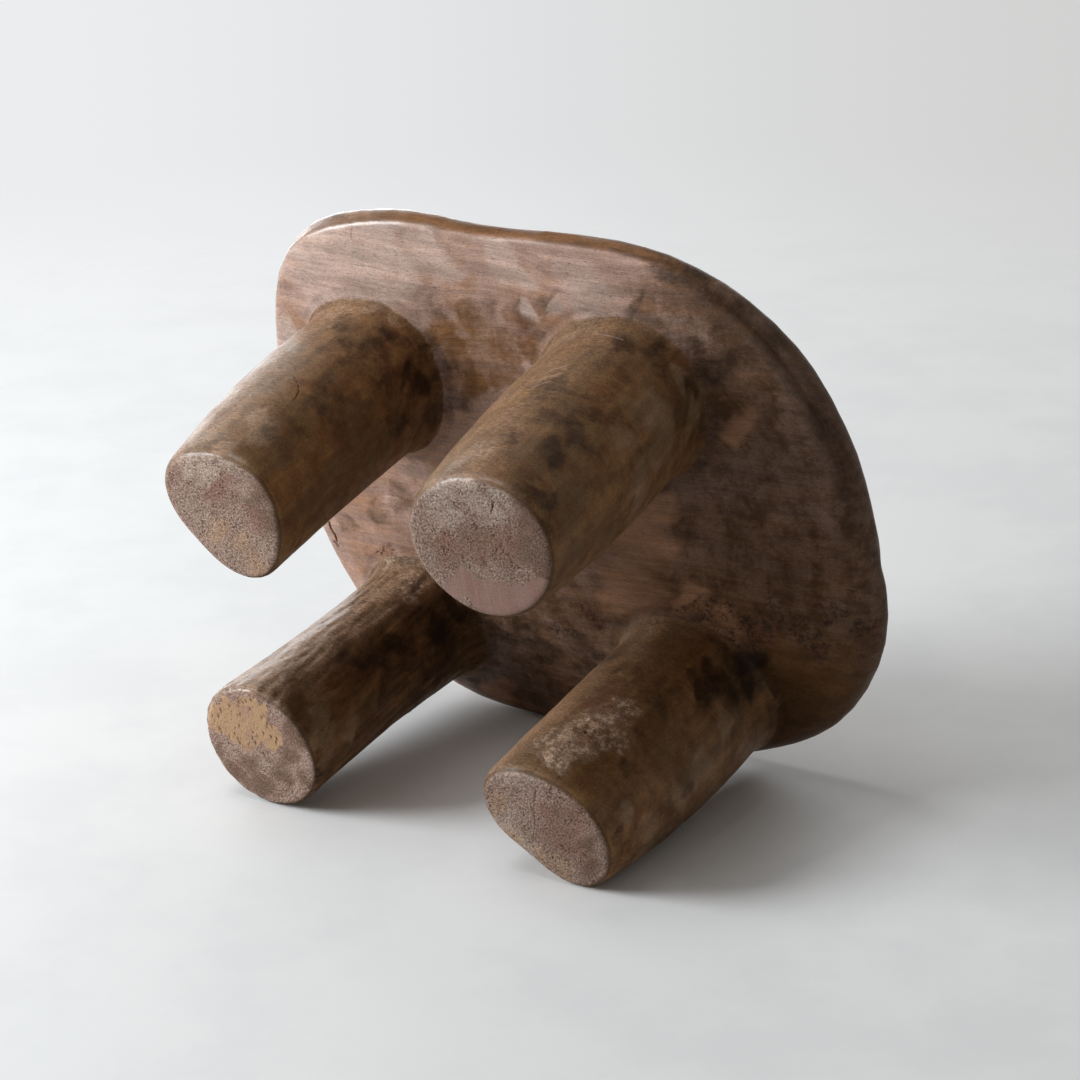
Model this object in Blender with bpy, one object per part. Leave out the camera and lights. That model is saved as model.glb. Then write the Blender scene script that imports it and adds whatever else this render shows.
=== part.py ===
"""Carved four-legged stool, cut whole from one block of wood.

Metres, +Z up. The stool stands on its four soles at z = 0, with the origin under the middle of the seat.
Front is -Y and left is -X. The seat and the legs are one carving on the real stool: here each is a node
of its own, parted by a hairline gap where the leg runs into the seat.
"""
from collections import namedtuple
from math import atan2, cos, floor, hypot, pi, radians, sin

import bmesh
import bpy
from mathutils import Vector

for old in list(bpy.data.objects):
    bpy.data.objects.remove(old, do_unlink=True)

# Main sizes: the seat's length along X and width along Y, and the height of its underside
SEAT_LENGTH = 0.400
SEAT_WIDTH = 0.341
UNDERSIDE_HEIGHT = 0.165

# Seat, seen from above: the carved edge's pattern, every 20 degrees from +X towards +Y, in half lengths
EDGE_SHARES = (0.995, 1.040, 1.030, 0.945, 0.865, 0.855, 0.940, 1.010, 1.000,
              0.995, 1.040, 1.100, 0.975, 0.8525, 0.860, 0.940, 1.000, 1.000)

# Seat, seen from the side
UNDERSIDE_RISE = 0.009
SEAT_THICKNESS = 0.0215
RIM_HEIGHT = 0.0145
LEFT_END_RISE = 0.011
RIGHT_END_RISE = 0.006
RIM_LEAN = 0.003
RIM_ROUND = 0.007
RIDGE_ROUND = 0.001
UNDERSIDE_POWER = 3
DISH_POWER = 2

# Legs: what all four share
FOOT_ROUND = 0.0035
ROOT_FLARE = 0.003
FLARE_LENGTH = 0.018
ROOT_GAP = 0.0003
SECTION_FADE = 0.35
BOW_TURN = 45

# Legs: each has its own foot, root and section, as carved by eye. Places are shares of the seat's half length
# and half width. Swell widens the middle of a leg, and bow leans it towards BOW_TURN.
Leg = namedtuple("Leg", "foot_x_share foot_y_share foot_radius root_x_share root_y_share root_radius "
                        "swell bow oval oval_turn wedge wedge_turn")
LEGS = {
    "leg_front_left": Leg(
        foot_x_share=-0.489, foot_y_share=-0.426, foot_radius=0.0400,
        root_x_share=-0.5585, root_y_share=-0.406, root_radius=0.0460, swell=0.0017, bow=-0.0030,
        oval=0.04, oval_turn=45, wedge=0.066, wedge_turn=78),
    "leg_front_right": Leg(
        foot_x_share=0.3715, foot_y_share=-0.481, foot_radius=0.0450,
        root_x_share=0.302, root_y_share=-0.454, root_radius=0.0497, swell=0.0036, bow=0.0005,
        oval=0.06, oval_turn=156, wedge=0.019, wedge_turn=81),
    "leg_rear_left": Leg(
        foot_x_share=-0.5775, foot_y_share=0.5215, foot_radius=0.0408,
        root_x_share=-0.5725, root_y_share=0.609, root_radius=0.0412, swell=-0.0026, bow=-0.0003,
        oval=0.011, oval_turn=83, wedge=0.004, wedge_turn=18),
    "leg_rear_right": Leg(
        foot_x_share=0.4115, foot_y_share=0.555, foot_radius=0.0377,
        root_x_share=0.396, root_y_share=0.642, root_radius=0.0445, swell=0.0025, bow=0.0027,
        oval=0.16, oval_turn=34, wedge=0.045, wedge_turn=70),
}

# Mesh fineness
SEAT_SIDES = 72
LEG_SIDES = 40
UNDERSIDE_RINGS = (0.15, 0.30, 0.45, 0.60, 0.73, 0.84, 0.93, 0.98)
TOP_RINGS = (0.94, 0.84, 0.70, 0.55, 0.38, 0.20)
ROUND_STEPS = 4
LEG_CLIMBS = (0, 0.15, 0.32, 0.5, 0.67, 0.8, 0.89, 0.94, 0.975, 1)
ROOT_CAP_RINGS = (0.75, 0.5, 0.25)
SMOOTH_ANGLE = 40

SEAT_COLOUR = (0.140, 0.082, 0.055, 1.0)
LEG_COLOUR = (0.100, 0.060, 0.033, 1.0)
WOOD_ROUGHNESS = 0.42


def directions(count):
    return [2 * pi * step / count for step in range(count)]


def pattern_reach(angle):
    """Reach of the carved edge's pattern, on a smooth curve through its points."""
    count = len(EDGE_SHARES)
    place = angle / (2 * pi) * count
    step = floor(place)
    part = place - step
    before, start, end, after = (EDGE_SHARES[(step + k) % count] for k in (-1, 0, 1, 2))
    bend = 2 * before - 5 * start + 4 * end - after + part * (3 * (start - end) + after - before)
    return start + part / 2 * (end - before + part * bend)


def pattern_span(axis):
    """Size of the pattern along X, with cos as its axis, or along Y, with sin."""
    places = [pattern_reach(a) * axis(a) for a in directions(SEAT_SIDES)]
    return max(places) - min(places)


LENGTH_STRETCH = SEAT_LENGTH / pattern_span(cos)
WIDTH_STRETCH = SEAT_WIDTH / pattern_span(sin)


def edge_point(angle, inset=0.0, share=1.0):
    """Point under the seat's carved edge, or set in from it, or at a share of the way out to it."""
    x = LENGTH_STRETCH * pattern_reach(angle) * cos(angle)
    y = WIDTH_STRETCH * pattern_reach(angle) * sin(angle)
    scale = share * (1 - inset / hypot(x, y))
    return x * scale, y * scale


def underside_z(x, y):
    """Height of the seat's underside, lowest in the middle and highest at the ridge under the rim's side."""
    edge = edge_point(atan2(y / WIDTH_STRETCH, x / LENGTH_STRETCH), RIM_LEAN)
    share = hypot(x, y) / hypot(*edge)
    return UNDERSIDE_HEIGHT + UNDERSIDE_RISE * share ** UNDERSIDE_POWER


def rim_top_z(angle):
    """Height of the rim, lowest at the middle of the long sides."""
    end_rise = LEFT_END_RISE if cos(angle) < 0 else RIGHT_END_RISE
    end_share = edge_point(angle)[0] / (SEAT_LENGTH / 2)
    return UNDERSIDE_HEIGHT + UNDERSIDE_RISE + RIM_HEIGHT + end_rise * end_share ** 2


def top_z(share, angle):
    """Height of the dished seat, at a share of the way from its middle to its rim."""
    middle = UNDERSIDE_HEIGHT + SEAT_THICKNESS
    return middle + (rim_top_z(angle) - middle) * share ** DISH_POWER


def ring(bm, points):
    return [bm.verts.new(point) for point in points]


def bridge(bm, rings):
    """Join each ring of vertices to the next with four-sided faces."""
    for lower, upper in zip(rings, rings[1:]):
        count = len(lower)
        for step in range(count):
            after = (step + 1) % count
            bm.faces.new((lower[step], lower[after], upper[after], upper[step]))


def fan(bm, loop, point):
    """Close a ring of vertices with triangles round one middle point."""
    middle = bm.verts.new(point)
    for start, end in zip(loop, loop[1:] + loop[:1]):
        bm.faces.new((start, end, middle))


def finish_node(bm, name, material, place=(0, 0, 0)):
    """Turn the faces outward and make the node's object, with its own origin at a place in the stool."""
    bmesh.ops.recalc_face_normals(bm, faces=bm.faces)
    bmesh.ops.translate(bm, verts=bm.verts, vec=-Vector(place))
    mesh = bpy.data.meshes.new(name)
    bm.to_mesh(mesh)
    bm.free()
    mesh.shade_smooth()
    mesh.set_sharp_from_angle(angle=radians(SMOOTH_ANGLE))
    mesh.materials.append(material)
    node = bpy.data.objects.new(name, mesh)
    node.location = place
    bpy.context.scene.collection.objects.link(node)
    return node


def wood(name, colour):
    material = bpy.data.materials.new(name)
    material.use_nodes = True
    shader = material.node_tree.nodes["Principled BSDF"]
    shader.inputs["Base Color"].default_value = colour
    shader.inputs["Roughness"].default_value = WOOD_ROUGHNESS
    shader.inputs["Metallic"].default_value = 0.0
    return material


def seat_rings():
    """Rings of points from the underside's middle, round the rim, to the top's middle."""
    angles = directions(SEAT_SIDES)
    for share in UNDERSIDE_RINGS:
        flat = [edge_point(a, RIM_LEAN, share) for a in angles]
        yield [(x, y, underside_z(x, y)) for x, y in flat]
    ridge_z = UNDERSIDE_HEIGHT + UNDERSIDE_RISE + RIDGE_ROUND
    yield [(*edge_point(a, RIM_LEAN), ridge_z) for a in angles]
    for step in range(ROUND_STEPS + 1):
        turn = pi / 2 * step / ROUND_STEPS
        inset = RIM_ROUND * (1 - cos(turn))
        drop = RIM_ROUND * (1 - sin(turn))
        yield [(*edge_point(a, inset), rim_top_z(a) - drop) for a in angles]
    for share in TOP_RINGS:
        yield [(*edge_point(a, RIM_ROUND, share), top_z(share, a)) for a in angles]


def make_seat(material):
    bm = bmesh.new()
    rings = [ring(bm, points) for points in seat_rings()]
    bridge(bm, rings)
    fan(bm, rings[0], (0, 0, UNDERSIDE_HEIGHT))
    fan(bm, rings[-1], (0, 0, UNDERSIDE_HEIGHT + SEAT_THICKNESS))
    return finish_node(bm, "seat", material)


def leg_point(leg, angle, climb, radius_change=0.0, share=1.0):
    """Point on a leg: climb runs from 0 at the foot to 1 at the root, share from its middle to its side."""
    fade = 1 - SECTION_FADE * climb
    oval = leg.oval * fade * cos(2 * (angle - radians(leg.oval_turn)))
    wedge = leg.wedge * fade * cos(3 * (angle - radians(leg.wedge_turn)))
    middle = 4 * climb * (1 - climb)
    mean = leg.foot_radius + (leg.root_radius - leg.foot_radius) * climb + leg.swell * middle
    flare_start = 1 - FLARE_LENGTH / UNDERSIDE_HEIGHT
    flare = ROOT_FLARE * max(0.0, (climb - flare_start) / (1 - flare_start)) ** 2
    radius = share * (mean * (1 + oval + wedge) + flare + radius_change)
    place_x = leg.foot_x_share + (leg.root_x_share - leg.foot_x_share) * climb
    place_y = leg.foot_y_share + (leg.root_y_share - leg.foot_y_share) * climb
    lean = leg.bow * middle
    x = place_x * SEAT_LENGTH / 2 + lean * cos(radians(BOW_TURN)) + radius * cos(angle)
    y = place_y * SEAT_WIDTH / 2 + lean * sin(radians(BOW_TURN)) + radius * sin(angle)
    return x, y


def leg_rings(leg):
    """Rings of points from the sole's edge up to the root, then in over the root's face."""
    angles = directions(LEG_SIDES)
    for step in range(ROUND_STEPS):
        turn = pi / 2 * step / ROUND_STEPS
        change = -FOOT_ROUND * (1 - sin(turn))
        z = FOOT_ROUND * (1 - cos(turn))
        yield [(*leg_point(leg, a, 0, change), z) for a in angles]
    for climb in LEG_CLIMBS:
        points = [leg_point(leg, a, climb) for a in angles]
        tops = [underside_z(*leg_point(leg, a, 1)) - ROOT_GAP for a in angles]
        yield [(x, y, FOOT_ROUND + (top - FOOT_ROUND) * climb) for (x, y), top in zip(points, tops)]
    for share in ROOT_CAP_RINGS:
        points = [leg_point(leg, a, 1, share=share) for a in angles]
        yield [(x, y, underside_z(x, y) - ROOT_GAP) for x, y in points]


def make_leg(name, leg, material):
    bm = bmesh.new()
    rings = [ring(bm, points) for points in leg_rings(leg)]
    bridge(bm, rings)
    bm.faces.new(rings[0])
    root_middle = leg_point(leg, 0, 1, share=0)
    fan(bm, rings[-1], (*root_middle, underside_z(*root_middle) - ROOT_GAP))
    return finish_node(bm, name, material, place=(*leg_point(leg, 0, 0, share=0), 0))


def main():
    make_seat(wood("seat_wood", SEAT_COLOUR))
    leg_wood = wood("leg_wood", LEG_COLOUR)
    for name, leg in LEGS.items():
        make_leg(name, leg, leg_wood)


main()
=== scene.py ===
# %% [markdown]
# A stool carved whole from one block of wood, seen tipped on its side, as it is shown to let the
# underside and the four feet be seen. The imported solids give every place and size. The looks are made
# around them: the solids are melted into one carving, worn and marked as the real wood is, and parted
# again at the roots.

import bmesh
import bpy
import numpy as np
from mathutils import Matrix, Vector
from mathutils.bvhtree import BVHTree


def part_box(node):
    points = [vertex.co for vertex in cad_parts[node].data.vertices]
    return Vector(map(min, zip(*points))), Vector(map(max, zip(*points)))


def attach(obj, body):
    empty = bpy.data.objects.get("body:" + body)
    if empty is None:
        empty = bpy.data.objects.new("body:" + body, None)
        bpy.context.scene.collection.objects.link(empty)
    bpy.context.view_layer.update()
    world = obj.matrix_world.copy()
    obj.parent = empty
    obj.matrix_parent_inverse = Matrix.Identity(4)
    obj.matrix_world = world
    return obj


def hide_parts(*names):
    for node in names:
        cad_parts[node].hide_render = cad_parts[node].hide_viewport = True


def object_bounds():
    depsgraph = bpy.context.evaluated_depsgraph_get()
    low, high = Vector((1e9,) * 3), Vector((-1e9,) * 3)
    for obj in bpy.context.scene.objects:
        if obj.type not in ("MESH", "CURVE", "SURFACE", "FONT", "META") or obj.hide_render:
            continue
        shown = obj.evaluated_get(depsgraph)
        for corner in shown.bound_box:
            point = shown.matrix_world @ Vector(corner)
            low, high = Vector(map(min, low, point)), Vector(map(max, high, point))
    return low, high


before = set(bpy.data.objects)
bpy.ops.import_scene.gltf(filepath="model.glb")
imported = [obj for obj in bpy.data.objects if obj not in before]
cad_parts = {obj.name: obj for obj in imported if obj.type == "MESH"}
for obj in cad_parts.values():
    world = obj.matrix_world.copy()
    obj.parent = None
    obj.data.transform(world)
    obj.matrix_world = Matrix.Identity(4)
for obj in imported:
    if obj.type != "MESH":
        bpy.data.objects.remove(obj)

scene = bpy.context.scene
cad_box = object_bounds()
LEG_NAMES = sorted(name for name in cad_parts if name.startswith("leg"))
print("legs:", LEG_NAMES, "box:", [[round(v, 4) for v in corner] for corner in cad_box])

# %% [markdown]
# The camera stands where the photographer's did. The stool stays upright in its own frame, as every part
# of the library does, so the camera is what gets tipped: it looks up at the underside, with its own right
# and up directions leaning as the tipped stool would make them lean.

# %% Camera
CAMERA_AT = Vector((0.9804, -0.9105, -1.1108))
CAMERA_RIGHT = Vector((0.8321, 0.1604, 0.5309)).normalized()
CAMERA_UP = Vector((-0.1567, -0.8503, 0.5025))
CAMERA_LENS = 106.7
SENSOR = 36.0
PHOTO_SIDE = 1080

camera_back = CAMERA_RIGHT.cross(CAMERA_UP).normalized()
camera_up = camera_back.cross(CAMERA_RIGHT)
camera = bpy.data.objects.new("camera", bpy.data.cameras.new("camera"))
camera.data.sensor_width = SENSOR
camera.data.lens = CAMERA_LENS
camera.matrix_world = Matrix((CAMERA_RIGHT, camera_up, camera_back)).transposed().to_4x4()
camera.matrix_world.translation = CAMERA_AT
scene.collection.objects.link(camera)
scene.camera = camera
print("camera at", tuple(round(v, 3) for v in CAMERA_AT))

# %% [markdown]
# Maths between node sockets reads badly as a list of links, so one small class wraps a socket. Python's
# own operators on it add Math nodes, and one method adds any other node. Python calls __add__ for a + b
# and __radd__ where only b is a wire, so each operator gets both. The same class serves shaders and
# Geometry Nodes, because both use the same Math node.

# %% Sockets as numbers


class Wire:
    """An output socket that can be used in an expression."""

    def __init__(self, tree, socket=None):
        self.tree = tree
        self.socket = socket

    def make(self, kind, settings=None, values=None, output=0):
        """Add a node: its settings first, then the values or links of its sockets."""
        node = self.tree.nodes.new(kind)
        for name, value in (settings or {}).items():
            setattr(node, name, value)
        for key, value in (values or {}).items():
            if isinstance(value, Wire):
                self.tree.links.new(value.socket, node.inputs[key])
            else:
                node.inputs[key].default_value = value
        return Wire(self.tree, node.outputs[output])

    def math(self, operation, *numbers):
        return self.make("ShaderNodeMath", {"operation": operation}, dict(enumerate(numbers)))

    def vector(self, operation, values, output=0):
        """Vector maths. Output 1 is a plain number, such as a length."""
        return self.make("ShaderNodeVectorMath", {"operation": operation}, values, output)

    def step(self, low, high):
        """0 below low, 1 above high, and a smooth rise between them."""
        values = {"Value": self, "From Min": low, "From Max": high}
        return self.make("ShaderNodeMapRange", {"interpolation_type": "SMOOTHSTEP"}, values)

    def stretch(self, x, y, z):
        """Coordinates multiplied along each axis."""
        return self.vector("MULTIPLY", {0: self, 1: (x, y, z)})

    def noise(self, scale, detail=3.0, roughness=0.5):
        values = {"Vector": self, "Scale": scale, "Detail": detail, "Roughness": roughness}
        return self.make("ShaderNodeTexNoise", None, values)

    def cells(self, scale):
        """Distance to the nearest of many scattered points."""
        return self.make("ShaderNodeTexVoronoi", {"feature": "F1"}, {"Vector": self, "Scale": scale})

    def blend(self, first, second):
        """A colour between two others, with this as the share of the second."""
        return self.make("ShaderNodeMix", {"data_type": "RGBA"}, {0: self, 6: first, 7: second}, output=2)

    def tint(self, colour, share):
        """This colour, mixed towards another by a share."""
        return share.blend(self, colour)

    def shade(self, share):
        """This colour or vector, multiplied by a number at every point."""
        return self.vector("SCALE", {0: self, "Scale": share})


OPERATORS = {"add": "ADD", "sub": "SUBTRACT", "mul": "MULTIPLY", "truediv": "DIVIDE"}
for name, kind in OPERATORS.items():
    setattr(Wire, f"__{name}__", lambda self, other, kind=kind: self.math(kind, self, other))
    setattr(Wire, f"__r{name}__", lambda self, other, kind=kind: self.math(kind, other, self))
print("operators on sockets:", list(OPERATORS))

# %% [markdown]
# The whole stool is one carving, so its legs have no joint: each runs into the seat in a soft hollow.
# That hollow can't be had from five separate solids. Copies of the solids are pushed a little into each
# other and melted into one skin by a voxel remesh, and the creases where they met are then relaxed into
# fillets.

# %% Melt the solids into one skin
VOXEL = 0.0018
ROOT_PUSH = 0.004
ROOT_REACH = 0.001
ROOT_ABOVE = 0.16
MERGE_WITHIN = 1e-5


def new_object(name, mesh):
    obj = bpy.data.objects.new(name, mesh)
    scene.collection.objects.link(obj)
    return obj


def node_copy(name):
    """A node's mesh with its loose triangles merged."""
    bm = bmesh.new()
    bm.from_mesh(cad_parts[name].data)
    bmesh.ops.remove_doubles(bm, verts=bm.verts, dist=MERGE_WITHIN)
    return bm


def baked(obj, name):
    """Plain mesh of an object with its modifiers, which are then gone with the object."""
    graph = bpy.context.evaluated_depsgraph_get()
    mesh = bpy.data.meshes.new_from_object(obj.evaluated_get(graph))
    bpy.data.objects.remove(obj)
    mesh.name = name
    return mesh


seat_copy = node_copy("seat")
seat_tree = BVHTree.FromBMesh(seat_copy)
leg_trees = {}
blank_mesh = bpy.data.meshes.new("blank")
for name in LEG_NAMES:
    leg_copy = node_copy(name)
    leg_trees[name] = BVHTree.FromBMesh(leg_copy)
    for vert in leg_copy.verts:
        distance = seat_tree.find_nearest(vert.co)[3]
        if distance < ROOT_REACH and vert.co.z > ROOT_ABOVE:
            vert.co.z += ROOT_PUSH
    leg_copy.to_mesh(blank_mesh)
    seat_copy.from_mesh(blank_mesh)
    leg_copy.free()
seat_copy.to_mesh(blank_mesh)
seat_copy.free()
blank = new_object("blank", blank_mesh)
remesh = blank.modifiers.new("melt", "REMESH")
remesh.mode = "VOXEL"
remesh.voxel_size = VOXEL
skin = baked(blank, "skin")
print("skin:", len(skin.vertices), "points", len(skin.polygons), "faces")

# %% [markdown]
# A remesh leaves fine steps, and a hard crease where a leg meets the seat. On the real stool the knife
# leaves a soft hollow there. Moving every point towards the middle of its neighbours does both: a few
# rounds everywhere take the steps away, and many rounds near a root turn the crease into a fillet. NumPy
# does this on all points at once, and the same helper later softens masks.

# %% Points of a mesh as arrays


def vectors(items, name):
    """One vector of every point or face of a mesh, as the rows of an array."""
    flat = np.empty(len(items) * 3)
    items.foreach_get(name, flat)
    return flat.reshape(-1, 3)


def points_of(mesh):
    return vectors(mesh.vertices, "co")


def normals_of(mesh):
    return vectors(mesh.vertices, "normal")


def move_points(mesh, points):
    mesh.vertices.foreach_set("co", points.ravel())
    mesh.update()


def edge_ends(mesh):
    flat = np.empty(len(mesh.edges) * 2, dtype=np.int32)
    mesh.edges.foreach_get("vertices", flat)
    return flat[0::2], flat[1::2]


print("skin spans", np.ptp(points_of(skin), axis=0).round(4))

# %% Relaxing and easing


def neighbour_mean(values, ends):
    """Mean over each point's neighbours of a value, or of each column of values."""
    a, b = ends
    count = len(values)
    share = 1 / np.maximum(np.bincount(a, minlength=count) + np.bincount(b, minlength=count), 1)
    columns = values.reshape(count, -1).T
    means = [(np.bincount(a, c[b], count) + np.bincount(b, c[a], count)) * share for c in columns]
    return np.stack(means, axis=1).reshape(values.shape)


def relax(values, ends, weight, rounds):
    """Move values towards the mean of their neighbours, by a weight at each point."""
    weight = np.broadcast_to(weight, len(values))
    weight = weight[:, None] if values.ndim > 1 else weight
    for _ in range(rounds):
        values = values + weight * (neighbour_mean(values, ends) - values)
    return values


def ease(values, low, high):
    """Smooth rise from 0 at low to 1 at high."""
    share = np.clip((values - low) / (high - low), 0, 1)
    return share * share * (3 - 2 * share)


def keep(mesh, name, values):
    """Store a number for every point, for the materials and node trees to read."""
    attribute = mesh.attributes.get(name) or mesh.attributes.new(name, "FLOAT", "POINT")
    attribute.data.foreach_set("value", values.astype(np.float32))


print("neighbours of a point, on average:", round(2 * len(skin.edges) / len(skin.vertices), 2))

# %% Relax the skin, most of all at the roots
ROOT_WIDTH = 0.008
EVEN_ROUNDS = 4
ROOT_ROUNDS = 26
LEG_SEARCH = 0.05
NO_LEG = 1.0


def from_nearest_leg(point):
    """Distance to the nearest leg, or a large one where none is within reach."""
    return min(tree.find_nearest(point, LEG_SEARCH)[3] or NO_LEG for tree in leg_trees.values())


points = points_of(skin)
ends = edge_ends(skin)
from_seat = np.array([seat_tree.find_nearest(Vector(p))[3] for p in points])
from_leg = np.array([from_nearest_leg(Vector(p)) for p in points])
near_root = ease(ROOT_WIDTH - np.maximum(from_seat, from_leg), 0, ROOT_WIDTH)
points = relax(points, ends, 0.5, EVEN_ROUNDS)
points = relax(points, ends, 0.5 * near_root, ROOT_ROUNDS)
move_points(skin, points)
leg_share = from_seat / (from_seat + from_leg + 1e-6)
keep(skin, "leg", relax(leg_share, ends, 0.5, 3))
print("points near a root:", int((near_root > 0.3).sum()))

# %% [markdown]
# No face of a stool shaped with an adze and a knife is quite flat. Geometry Nodes push every point along
# its normal by slow waves and by the shallow scallops that a blade leaves.

# %% Geometry Nodes from a script


def geometry_tree(name, inputs):
    """A Geometry Nodes group with named number inputs, and a wire for each of them."""
    tree = bpy.data.node_groups.new(name, "GeometryNodeTree")
    tree.interface.new_socket("Geometry", in_out="INPUT", socket_type="NodeSocketGeometry")
    for label, value in inputs.items():
        socket = tree.interface.new_socket(label, in_out="INPUT", socket_type="NodeSocketFloat")
        socket.default_value = value
    tree.interface.new_socket("Material", in_out="INPUT", socket_type="NodeSocketMaterial")
    tree.interface.new_socket("Geometry", in_out="OUTPUT", socket_type="NodeSocketGeometry")
    group_in = tree.nodes.new("NodeGroupInput")
    wires = {socket.name: Wire(tree, socket) for socket in group_in.outputs if socket.name}
    return tree, wires


def pushed(geometry, height):
    """Geometry whose points have moved along their normals by a height."""
    offset = geometry.make("GeometryNodeInputNormal").shade(height)
    return geometry.make("GeometryNodeSetPosition", None, {"Geometry": geometry, "Offset": offset})


def finish_tree(tree, geometry, material):
    real = geometry.make("GeometryNodeRealizeInstances", None, {"Geometry": geometry})
    done = real.make("GeometryNodeSetMaterial", None, {"Geometry": real, "Material": material})
    out = tree.nodes.new("NodeGroupOutput")
    tree.links.new(done.socket, out.inputs["Geometry"])


def run_tree(tree, mesh, name, values):
    """The mesh that a tree makes of a mesh, with the tree's inputs set by their identifiers."""
    obj = new_object(name, mesh)
    modifier = obj.modifiers.new(tree.name, "NODES")
    modifier.node_group = tree
    for item in tree.interface.items_tree:
        if item.in_out == "INPUT" and item.name in values:
            modifier[item.identifier] = values[item.name]
    return baked(obj, name)


# %% Hand-carved surface


def carved_surface_tree():
    tree, wires = geometry_tree("carved_surface", {
        "Wave Size": 0.05, "Wave Height": 0.0005, "Scallop Size": 0.022, "Scallop Depth": 0.00016})
    place = Wire(tree).make("GeometryNodeInputPosition")
    waves = place.noise(1 / wires["Wave Size"], detail=1.0) - 0.5
    scallops = place.cells(1 / wires["Scallop Size"]) - 0.5
    height = waves * wires["Wave Height"] * 2 + scallops * wires["Scallop Depth"] * 2
    finish_tree(tree, pushed(wires["Geometry"], height), wires["Material"])
    return tree


wood = bpy.data.materials.new("carved_wood")
skin = run_tree(carved_surface_tree(), skin, "skin", {"Material": wood})
print("carved skin:", len(skin.vertices), "points")

# %% [markdown]
# Marks are placed where the photograph shows them. A pixel of it is a ray from the camera, and the first
# place where that ray meets the skin is where the mark lies, so each mark sits on the wood from any side.

# %% Places by pixel
TURN = 6.283
EDGE_WAVES = (0.031, 0.017, 0.009, 0.005)
EDGE_REACH = 0.0035
MM = 0.001
FAR = 9.0

skin_tree = BVHTree.FromPolygons([v.co for v in skin.vertices], [p.vertices[:] for p in skin.polygons])


def photo_point(x, y):
    """The point of the skin seen at a pixel of the photograph."""
    scale = SENSOR / CAMERA_LENS / PHOTO_SIDE
    right = CAMERA_RIGHT * ((x - PHOTO_SIDE / 2) * scale)
    up = camera_up * ((PHOTO_SIDE / 2 - y) * scale)
    ray = (right + up - camera_back).normalized()
    hit = skin_tree.ray_cast(CAMERA_AT, ray)[0]
    if hit is None:
        hit = skin_tree.find_nearest(CAMERA_AT - ray * CAMERA_AT.dot(ray))[0]
    return np.array(hit)


def wandered(points, reach):
    """Points moved about by a few crossing waves, so that what is measured from them has no neat edge."""
    for number, wave in enumerate(EDGE_WAVES):
        turned = points[:, [1, 2, 0]] + 0.6 * points[:, [2, 0, 1]]
        points = points + reach * wave / EDGE_WAVES[0] * np.sin(turned * (TURN / wave) + number * 1.7)
    return points


def patch_mask(points, spots):
    """1 at the middle of ragged spots (pixel x, pixel y, radius in mm), falling to 0 at their edges."""
    mask = np.zeros(len(points))
    moved = wandered(points, EDGE_REACH)
    for x, y, radius in spots:
        middle = wandered(photo_point(x, y)[None], EDGE_REACH)
        distance = np.linalg.norm(moved - middle, axis=1)
        mask = np.maximum(mask, 1 - (distance / (radius * MM)) ** 2)
    return mask


def path_distance(points, pixels):
    """Distance of points from a path through pixels, and how far along the path its nearest place is."""
    corners = [photo_point(x, y) for x, y in pixels]
    best = np.full(len(points), FAR)
    share = np.zeros(len(points))
    for number, (a, b) in enumerate(zip(corners, corners[1:])):
        along = np.clip((points - a) @ (b - a) / ((b - a) @ (b - a)), 0, 1)
        distance = np.linalg.norm(points - a - along[:, None] * (b - a), axis=1)
        share = np.where(distance < best, (number + along) / (len(corners) - 1), share)
        best = np.minimum(best, distance)
    return best, share


print("middle of the photograph is at", photo_point(PHOTO_SIDE / 2, PHOTO_SIDE / 2).round(4))

# %% [markdown]
# The edge of the underside is crisp along the front and turns into a soft hollow round the right end,
# where the carver's blade ran along inside the rim. The crisp edge is relaxed there and the hollow is
# pressed in.

# %% Hollow along the right end
RIM_HOLLOW = ((690, 284), (712, 296), (740, 313), (767, 340), (790, 370), (810, 400), (827, 427), (838, 453),
              (847, 483), (853, 510), (857, 540))
HOLLOW_DEPTH = 0.0032
HOLLOW_WIDTH = 0.0060
DENT_PIXEL = (883, 566)
DENT_DEPTH = 0.0010
DENT_WIDTH = 0.008
GROOVE_WIDTH = 0.0085
RIDGE_ROUNDS = 60
RIDGE_TOP = 0.186
RIDGE_FOOT = (0.16, 0.165)
RIGHT_FROM = (-62, -44)
RIGHT_TO = (-120, -80)

points = points_of(skin)
ends = edge_ends(skin)


def bend_of(mesh, rounds):
    """How far each point stands below its neighbours: below zero on edges, above zero in hollows."""
    points = points_of(mesh)
    ends = edge_ends(mesh)
    bend = ((neighbour_mean(points, ends) - points) * normals_of(mesh)).sum(1) / VOXEL
    return relax(bend, ends, 0.5, rounds)


bend = bend_of(skin, 4)
print("bend, lowest to highest:", [round(v, 3) for v in np.percentile(bend, (0, 5, 50, 95, 100))])
turn = np.degrees(np.arctan2(points[:, 1], points[:, 0]))
at_right = ease(turn, *RIGHT_FROM) * ease(-turn, *RIGHT_TO)
height = points[:, 2]
on_ridge = ease(-bend, 0.012, 0.035) * ease(RIDGE_TOP - height, 0, 0.006) * ease(height, *RIDGE_FOOT)
points = relax(points, ends, 0.5 * relax(on_ridge, ends, 0.5, 4) * at_right, RIDGE_ROUNDS)
distance, share = path_distance(points, RIM_HOLLOW)
tapered = ease(share, 0, 0.25) * ease(1 - share, 0, 0.45)
press = HOLLOW_DEPTH * np.exp(-(distance / HOLLOW_WIDTH) ** 2) * tapered
from_dent = np.linalg.norm(points - photo_point(*DENT_PIXEL), axis=1)
press += DENT_DEPTH * np.exp(-(from_dent / DENT_WIDTH) ** 2)
points = points - normals_of(skin) * press[:, None]
move_points(skin, points)
keep(skin, "right", at_right)
along_rim = ease(share, -0.1, 0.15) * ease(1 - share, -0.1, 0.3)
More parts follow.
